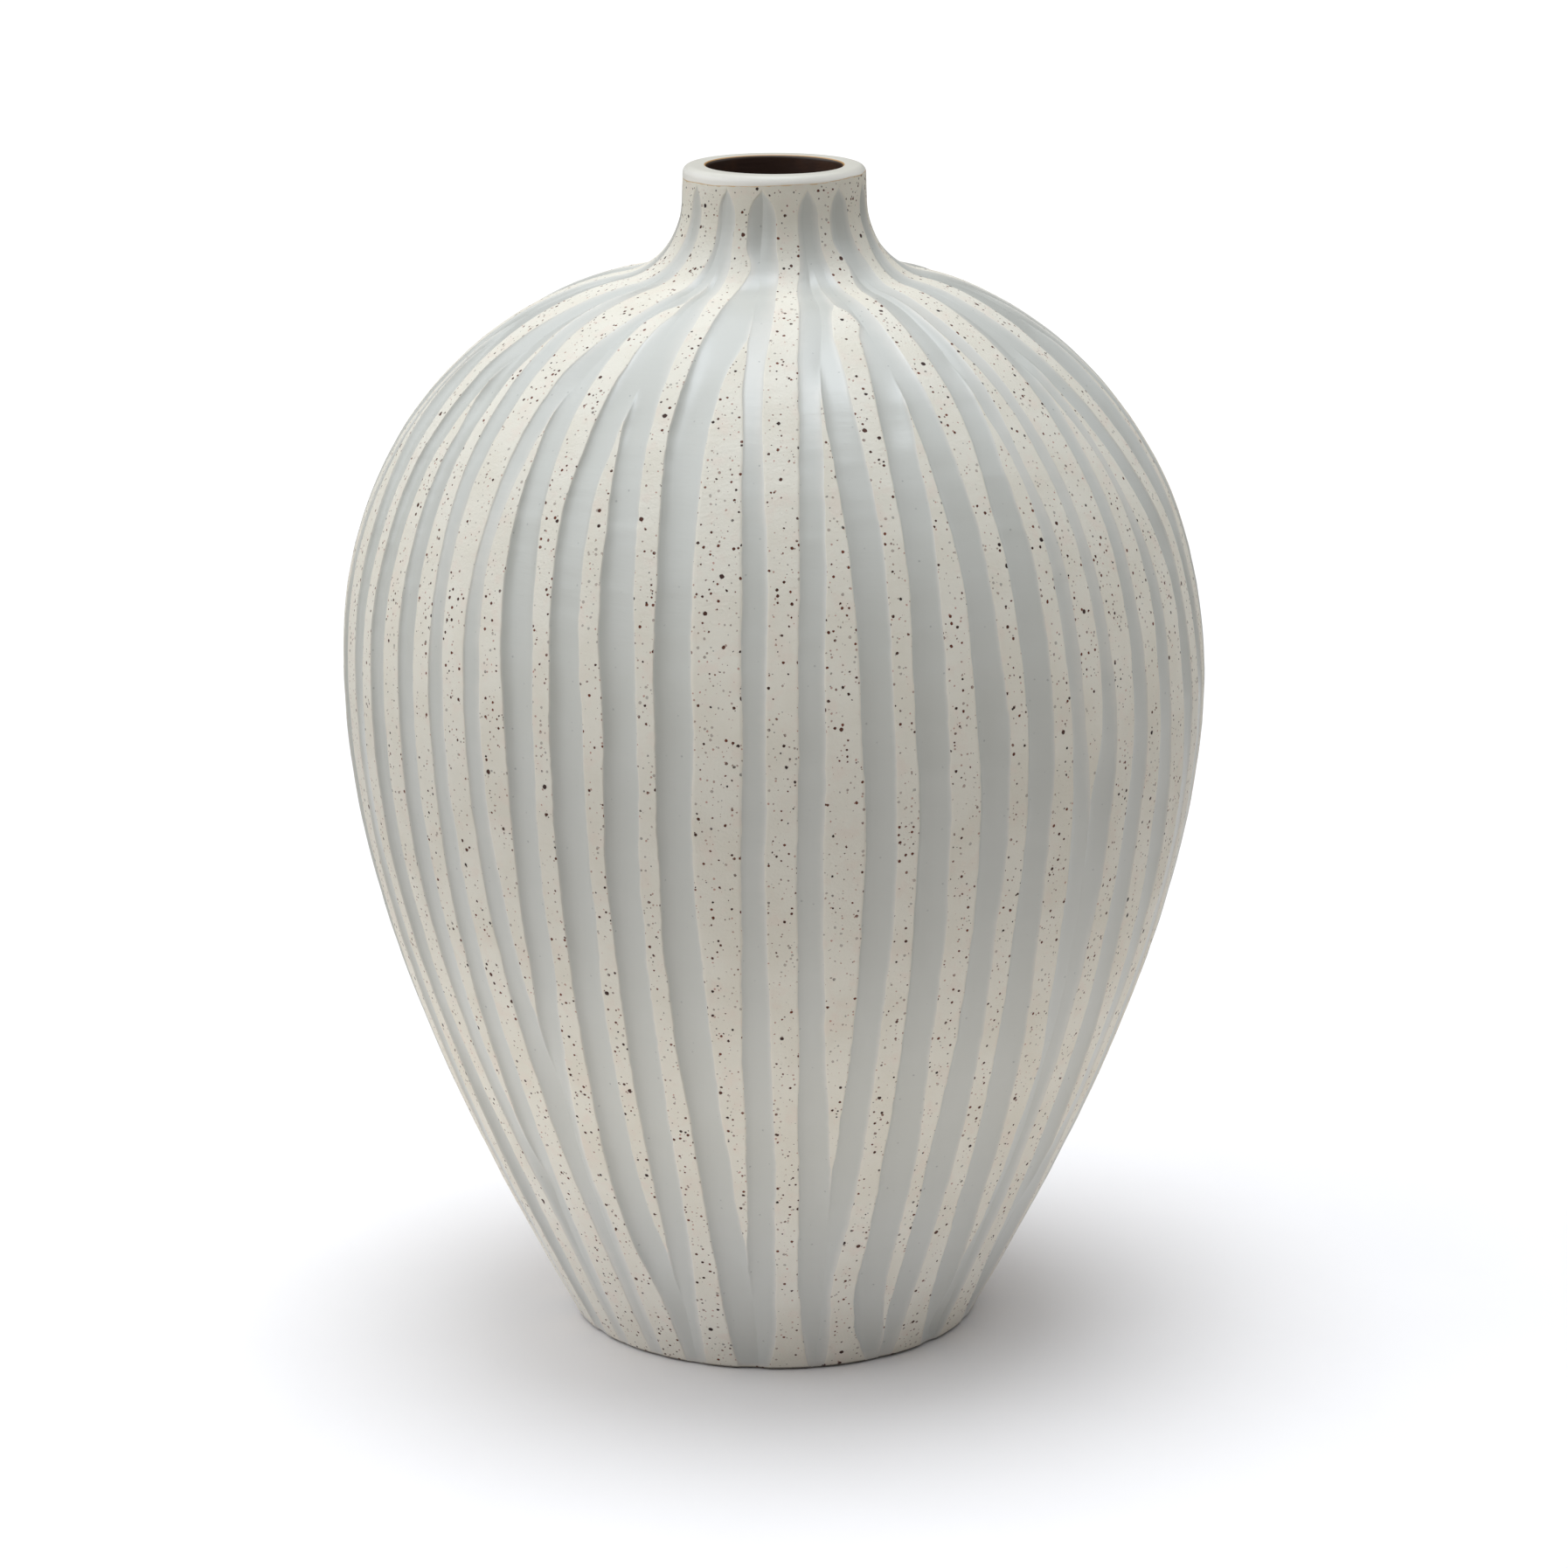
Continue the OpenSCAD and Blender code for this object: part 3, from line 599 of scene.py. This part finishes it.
def build_flute_glaze(material):
    """The glaze in the flutes: a skin over the wall wherever there is any, closed at its edges."""
    thick = glaze_thickness()
    inner, outer = on_wall(DEPTH), on_wall(DEPTH - thick)
    wet = thick.ravel() > 0
    size = wet.size
    outer_id = np.arange(size)
    outer_id[wet] = size + np.arange(wet.sum())
    quads = grid_faces(len(Z), COLUMNS)
    quads = quads[wet[quads].any(axis=1)]
    faces = np.vstack([outer_id[quads], quads[:, ::-1]])
    points = np.vstack([inner.reshape(-1, 3), outer.reshape(-1, 3)[wet]])
    pooled = np.concatenate([thick.ravel(), thick.ravel()[wet]]) / FLUTE_GLAZE_T
    used, faces = np.unique(faces, return_inverse=True)
    faces = faces.reshape(-1, 4)
    return add_piece("flute_glaze_coat", points[used], faces.tolist(), "flute_glaze",
                     material, {"pooled": pooled[used]})


def build_lip_glaze(material):
    """The lip's glaze, whose lower edge wavers round the rim and whose inner edge meets the lining."""
    columns = 240
    angles = np.arange(columns) * 360 / columns
    past = past_glaze_line(angles)
    thick = lip_glaze_thickness(angles)
    dry = past < 0
    outer = lip_shell(angles, np.where(dry, DRY_EDGE, 0))
    under = lip_shell(angles, np.where(dry, 1.5 * DRY_EDGE, np.maximum(thick, 0.5 * DRY_EDGE)))
    stack = np.concatenate([outer, under[::-1]])
    faces = grid_faces(len(stack) + 1, columns) % (len(stack) * columns)
    thin = 1 - smoothstep(0, 0.3, past)
    round_in = smoothstep(LIP_ALONG[-1] - 0.72, LIP_ALONG[-1] - 0.25, LIP_ALONG)[:, None] + 0 * thin
    # flat is 1 on the lip's top; it carries the painted shade of the top and the painted light of the
    # sides.
    flat = smoothstep(HEIGHT - 0.9, HEIGHT - 0.05, LIP[:, 1])[:, None] + 0 * thin
    values = {"thin": thin, "inward": round_in, "flat": flat}
    values = {key: np.concatenate([part, part[::-1]]) for key, part in values.items()}
    return add_piece("lip_glaze_coat", stack.reshape(-1, 3), faces.tolist(), "lip_glaze",
                     material, values)


def build_lining(material):
    """The glaze inside: bore, chamber wall and floor, with faint throwing rings."""
    columns = 120
    angles = np.arange(columns) * 360 / columns
    seen = np.vstack([[MOUTH_R, SEAM_Z], chamber_outline(0)])
    hidden = np.vstack([[BORE_R, SEAM_Z], chamber_outline(GLAZE_T)])
    rings_seen = 0.12 * ripple(seen[:, 1], 5.3, 51) * smoothstep(0, 6, SEAM_Z - seen[:, 1])
    seen = seen - np.column_stack([rings_seen, 0 * rings_seen])
    stack = np.concatenate([rings(hidden[::-1], angles), rings(seen, angles)])
    stack[..., 2] += rim_lift(angles, stack[..., 2])
    points = stack.reshape(-1, 3)
    count = len(points)
    points = np.vstack([points, [[0, 0, FLOOR_Z - GLAZE_T], [0, 0, FLOOR_Z]]])
    faces = grid_faces(len(stack), columns).tolist()
    faces += fan(0, columns, count, upward=False)
    faces += fan(count - columns, columns, count + 1, upward=True)
    return add_piece("lining_coat", points, faces, "lining_glaze", material)


# --------------------------------------------------------------- materials


class Graph:
    """Short ways to add nodes to one material, whose Principled shader is `surface`."""

    def __init__(self, name):
        """A new material whose graph holds only its output and shader."""
        self.material = bpy.data.materials.new(name)
        self.material.use_nodes = True
        self.tree = self.material.node_tree
        self.tree.nodes.clear()
        output = self.tree.nodes.new("ShaderNodeOutputMaterial")
        self.surface = self.add("BsdfPrincipled")
        self.tree.links.new(self.surface.outputs[0], output.inputs["Surface"])
        self.place = self.add("TexCoord").outputs["Object"]

    def add(self, kind, inputs=None, **settings):
        """A node of a kind, with values or links for its inputs."""
        node = self.tree.nodes.new("ShaderNode" + kind)
        for key, value in settings.items():
            setattr(node, key, value)
        for key, value in (inputs or {}).items():
            self.put(node.inputs[key], value)
        return node

    def put(self, socket, value):
        """Links another node's output to a socket, or sets its value."""
        if isinstance(value, bpy.types.NodeSocket):
            self.tree.links.new(value, socket)
        else:
            socket.default_value = value

    def shade(self, **values):
        """Sets or links inputs of the Principled shader by name."""
        for key, value in values.items():
            self.put(self.surface.inputs[key.replace("_", " ")], value)

    def math(self, operation, a, b=0.0):
        """The result of one Math node."""
        return self.add("Math", {0: a, 1: b}, operation=operation).outputs[0]

    def step(self, value, low, high, start=0.0, end=1.0):
        """A value eased from start at low to end at high."""
        limits = {"Value": value, "From Min": low, "From Max": high, "To Min": start, "To Max": end}
        return self.add("MapRange", limits, interpolation_type="SMOOTHSTEP").outputs["Result"]

    def blend(self, share, a, b, how="MIX"):
        """A share of colour b over colour a."""
        node = self.add("Mix", {0: share, 6: a, 7: b}, data_type="RGBA", blend_type=how)
        return node.outputs[2]

    def value(self, name):
        """A number that the mesh carries at each point."""
        return self.add("Attribute", attribute_name=name).outputs["Fac"]

    def noise(self, size, detail=2.0, squash=1.0, shift=0.0):
        """Noise with features of about `size` mm, flattened by `squash` along the axis."""
        lay = {"Vector": self.place, "Location": (shift, shift, 0), "Scale": (1, 1, squash)}
        moved = self.add("Mapping", lay).outputs[0]
        wanted = {"Vector": moved, "Scale": 1 / (size * MM), "Detail": detail}
        return self.add("TexNoise", wanted).outputs["Fac"]

    def height(self):
        """Height above the floor, in metres."""
        return self.add("SeparateXYZ", {0: self.place}).outputs["Z"]

    def painted_height_shading(self, colour):
        """Painted light and shade by height: the colour darkened round the belly as painted shade, and
        paler and cooler low down as painted light bounced from the floor.
        """
        height = self.height()
        above, below = self.step(height, 42 * MM, 78 * MM), self.step(height, 84 * MM, 112 * MM, 1, 0)
        # Painted shade: a darker band round the belly.
        tone = self.blend(self.math("MULTIPLY", above, below), (1, 1, 1, 1), (0.84, 0.84, 0.84, 1))
        # Painted light: paler and cooler low down, standing in for light bounced from the floor.
        tone = self.blend(self.step(height, 10 * MM, 45 * MM, 1, 0), tone, (0.99, 1.01, 1.06, 1))
        return self.blend(1.0, colour, tone, "MULTIPLY")

    def specks(self, cell, radius, shift, share=1.0, soft=0.15):
        """Round grains: one in each cell of `cell` mm, up to `radius` mm, in a `share` of the cells."""
        wobble = self.add("TexNoise", {"Vector": self.place, "Scale": 1 / (0.25 * MM), "Detail": 1.0})
        push = {0: wobble.outputs["Color"], 1: (0.16 * MM,) * 3}
        pushed = self.add("VectorMath", push, operation="MULTIPLY")
        moved = self.add("VectorMath", {0: self.place, 1: pushed.outputs[0]}, operation="ADD")
        offset = self.add("VectorMath", {0: moved.outputs[0], 1: (shift,) * 3}, operation="ADD")
        cells = self.add("TexVoronoi", {"Vector": offset.outputs[0], "Scale": 1 / (cell * MM)})
        luck = self.add("SeparateColor", {"Color": cells.outputs["Color"]})
        largest = self.step(luck.outputs["Red"], 0, 1, 0.45 * radius / cell, radius / cell)
        kept = self.math("LESS_THAN", luck.outputs["Green"], share)
        size = self.math("MULTIPLY", largest, kept)
        inside = self.math("SUBTRACT", size, cells.outputs["Distance"])
        return self.step(inside, 0, soft * radius / cell), luck.outputs["Blue"]


def stoneware():
    """Bare speckled clay: cream, matt, with iron grains of several sizes and a fine tooth."""
    g = Graph("stoneware")
    cloud = g.noise(9, detail=4)
    blush = g.noise(2.6, detail=3, shift=0.3)
    base = g.blend(g.step(cloud, 0.35, 0.68), (0.79, 0.73, 0.61, 1), (0.755, 0.69, 0.565, 1))
    base = g.blend(g.step(blush, 0.5, 0.72, 0, 0.4), base, (0.78, 0.645, 0.53, 1))
    crowd = g.step(g.noise(5, detail=2, shift=0.7), 0.38, 0.62)
    fleck, _ = g.specks(0.5, 0.13, 0.47, share=0.6, soft=0.8)
    base = g.blend(g.math("MULTIPLY", fleck, g.math("MULTIPLY", crowd, 0.3)), base, (0.40, 0.33, 0.24, 1))
    faint, tint = g.specks(0.8, 0.17, 0.11)
    brown = g.blend(tint, (0.14, 0.09, 0.05, 1), (0.42, 0.11, 0.06, 1))
    base = g.blend(g.math("MULTIPLY", faint, 0.65), base, brown)
    dark, tone = g.specks(0.93, 0.24, 0.23, share=0.9)
    dark = g.math("MULTIPLY", dark, g.step(crowd, 0.0, 0.5, 0.45, 1))
    base = g.blend(dark, base, g.blend(tone, (0.03, 0.012, 0.006, 1), (0.17, 0.04, 0.015, 1)))
    large, rusty = g.specks(2.6, 0.36, 0.37, share=0.85)
    halo, _ = g.specks(2.6, 0.52, 0.37, share=0.85, soft=0.9)
    base = g.blend(g.math("MULTIPLY", halo, 0.2), base, (0.42, 0.24, 0.15, 1))
    base = g.blend(large, base, g.blend(rusty, (0.022, 0.010, 0.007, 1), (0.10, 0.03, 0.014, 1)))
    small, _ = g.specks(0.8, 0.19, 0.53, share=0.75, soft=0.4)
    at_neck = g.step(g.height(), 150 * MM, 158 * MM, 0, 0.85)
    base = g.blend(g.math("MULTIPLY", small, at_neck), base, (0.07, 0.035, 0.02, 1))
    # Painted contact shadow: the clay darkened along its lowest half millimetre, where the foot meets the
    # floor.
    base = g.blend(g.step(g.height(), 0.25 * MM, 0.6 * MM, 0.75, 0), base, (0.09, 0.06, 0.045, 1))
    grain = g.math("ADD", g.noise(0.35, detail=3), g.noise(1.6, detail=2, squash=2.5))
    pits = g.math("SUBTRACT", grain, g.math("MULTIPLY", large, 1.5))
    bump = g.add("Bump", {"Height": pits, "Strength": 0.5, "Distance": 0.12 * MM})
    rough = g.step(cloud, 0.3, 0.7, 0.62, 0.74)
    # The clay's colour gets painted shade round the belly and painted light low down.
    g.shade(Base_Color=g.painted_height_shading(base), Roughness=rough, Normal=bump.outputs[0], Specular_IOR_Level=0.35)
    return g.material


def pale_blue_glaze():
    """Satin glaze in the flutes: greyer where it pools, with grains that show through dimly."""
    g = Graph("pale_blue_glaze")
    pooled = g.math("ADD", g.value("pooled"), g.math("MULTIPLY", g.noise(2.2, detail=3, squash=2), 0.35))
    depth = g.step(pooled, 0.15, 1.1)
    base = g.blend(depth, (0.69, 0.645, 0.56, 1), (0.58, 0.562, 0.495, 1))
    cloud = g.noise(14, detail=3, shift=0.4)
    base = g.blend(g.step(cloud, 0.4, 0.7, 0, 0.35), base, (0.624, 0.605, 0.545, 1))
    dim, _ = g.specks(1.7, 0.22, 0.61, soft=0.8)
    base = g.blend(g.math("MULTIPLY", dim, 0.5), base, (0.20, 0.19, 0.17, 1))
    lines = g.math("ADD", g.noise(6, detail=3, squash=9), g.math("MULTIPLY", g.noise(0.8), 0.35))
    bump = g.add("Bump", {"Height": lines, "Strength": 0.25, "Distance": 0.12 * MM})
    rough = g.step(cloud, 0.3, 0.7, 0.3, 0.4)
    # The glaze's colour gets painted shade round the belly and painted light low down.
    g.shade(Base_Color=g.painted_height_shading(base), Roughness=rough, Normal=bump.outputs[0], Specular_IOR_Level=0.5)
    return g.material


def white_lip_glaze():
    """Thick white glaze of the lip, which breaks to amber where it runs thin."""
    g = Graph("white_lip_glaze")
    thin = g.math("ADD", g.value("thin"), g.math("MULTIPLY", g.math("SUBTRACT", g.noise(2.5), 0.5), 0.5))
    # Painted light and shade: the lip's rounded sides are painted paler and its flat top darker.
    base = g.blend(g.value("flat"), (0.93, 0.87, 0.77, 1), (0.67, 0.62, 0.52, 1))
    base = g.blend(g.step(thin, 0.35, 0.95), base, (0.66, 0.43, 0.18, 1))
    inward = g.value("inward")
    base = g.blend(g.step(inward, 0.02, 0.25), base, (0.50, 0.27, 0.09, 1))
    base = g.blend(g.step(inward, 0.6, 0.9), base, (0.05, 0.025, 0.012, 1))
    bump = g.add("Bump", {"Height": g.noise(1.5, detail=2), "Strength": 0.2, "Distance": 0.1 * MM})
    g.shade(Base_Color=base, Normal=bump.outputs[0], Roughness=0.4)
    return g.material


def dark_lining_glaze():
    """Brown-black glaze inside, with a rusty cast in thin places."""
    g = Graph("dark_lining_glaze")
    rust = g.step(g.noise(6, detail=4), 0.45, 0.75)
    base = g.blend(rust, (0.065, 0.036, 0.026, 1), (0.13, 0.06, 0.032, 1))
    bump = g.add("Bump", {"Height": g.noise(4, detail=3, squash=4), "Strength": 0.3, "Distance": 0.2 * MM})
    g.shade(Base_Color=base, Normal=bump.outputs[0], Roughness=0.28)
    return g.material


def floor_paper():
    """Plain pale paper of the studio floor."""
    g = Graph("floor_paper")
    tooth = g.step(g.noise(30), 0.3, 0.7)
    base = g.blend(tooth, (0.93, 0.88, 0.84, 1), (0.92, 0.87, 0.83, 1))
    g.shade(Base_Color=base, Roughness=0.9, Specular_IOR_Level=0.1)
    return g.material


# ------------------------------------------------------------------ studio

FLOOR_REACH = 3.4
SKY_STRENGTH = 0.02
BACKDROP_STRENGTH = 1.1
COOL_WHITE = (0.853, 0.917, 1.0)
CAMERA_PLACE = Vector((0.008, -3.8475, 1.4947)) * cad_high.z
CAMERA_DOWN = 14.94
CAMERA_LENS = 106.36
CAMERA_SENSOR = 36


def build_floor():
    """A round table top of pale paper."""
    reach, count = FLOOR_REACH * cad_high.z, 128
    turns = [2 * math.pi * i / count for i in range(count)]
    mesh = bpy.data.meshes.new("floor")
    points = [(reach * math.cos(a), reach * math.sin(a), 0) for a in turns]
    mesh.from_pydata(points, [], [list(range(count))])
    mesh.materials.append(floor_paper())
    floor = bpy.data.objects.new("floor", mesh)
    bpy.context.scene.collection.objects.link(floor)


def build_sky():
    """A white backdrop to look at, which lights the vase only dimly."""
    world = bpy.data.worlds.new("studio")
    world.use_nodes = True
    tree = world.node_tree
    glow = tree.nodes["Background"]
    glow.inputs["Color"].default_value = (1.0, 0.95, 0.88, 1)
    glow.inputs["Strength"].default_value = SKY_STRENGTH
    backdrop = tree.nodes.new("ShaderNodeBackground")
    backdrop.inputs["Color"].default_value = (1, 1, 1, 1)
    backdrop.inputs["Strength"].default_value = BACKDROP_STRENGTH
    path = tree.nodes.new("ShaderNodeLightPath")
    choice = tree.nodes.new("ShaderNodeMixShader")
    tree.links.new(path.outputs["Is Camera Ray"], choice.inputs[0])
    tree.links.new(glow.outputs[0], choice.inputs[1])
    tree.links.new(backdrop.outputs[0], choice.inputs[2])
    tree.links.new(choice.outputs[0], tree.nodes["World Output"].inputs["Surface"])
    bpy.context.scene.world = world


def build_lamp(name, place, strength, spread):
    """A very broad soft lamp that shines from `place` towards the vase, `spread` degrees wide."""
    data = bpy.data.lights.new(name, "SUN")
    data.energy = strength
    data.color = COOL_WHITE
    data.angle = math.radians(spread)
    lamp = bpy.data.objects.new(name, data)
    lamp.rotation_euler = Vector(place).to_track_quat("Z", "Y").to_euler()
    bpy.context.scene.collection.objects.link(lamp)


def build_camera():
    """The viewing angle: about 15 degrees down, from 3.8 heights away."""
    data = bpy.data.cameras.new("camera")
    data.sensor_width = CAMERA_SENSOR
    data.lens = CAMERA_LENS
    data.clip_start, data.clip_end = 0.01, 50
    camera = bpy.data.objects.new("camera", data)
    camera.location = CAMERA_PLACE
    camera.rotation_euler = (math.radians(90 - CAMERA_DOWN), 0, 0)
    bpy.context.scene.collection.objects.link(camera)
    bpy.context.scene.camera = camera


build_camera()
build_clay(stoneware())
build_flute_glaze(pale_blue_glaze())
build_lip_glaze(white_lip_glaze())
build_lining(dark_lining_glaze())
build_floor()
build_sky()
build_lamp("overhead_softbox", (-0.35, 0.1, 1.0), 2.15, 105)
build_lamp("ceiling_lamp", (0.0, 0.07, 1.0), 1.4, 34)
build_lamp("ceiling", (0.0, 0.0, 1.0), 0.4, 140)
build_lamp("left_panel", (-1.0, -0.3, 0.4), 0.65, 70)
build_lamp("right_panel", (1.0, -0.2, 0.4), 0.17, 70)
build_lamp("right_backdrop", (1.0, 0.5, 0.9), 0.35, 60)
bpy.context.scene.view_settings.view_transform = "Standard"
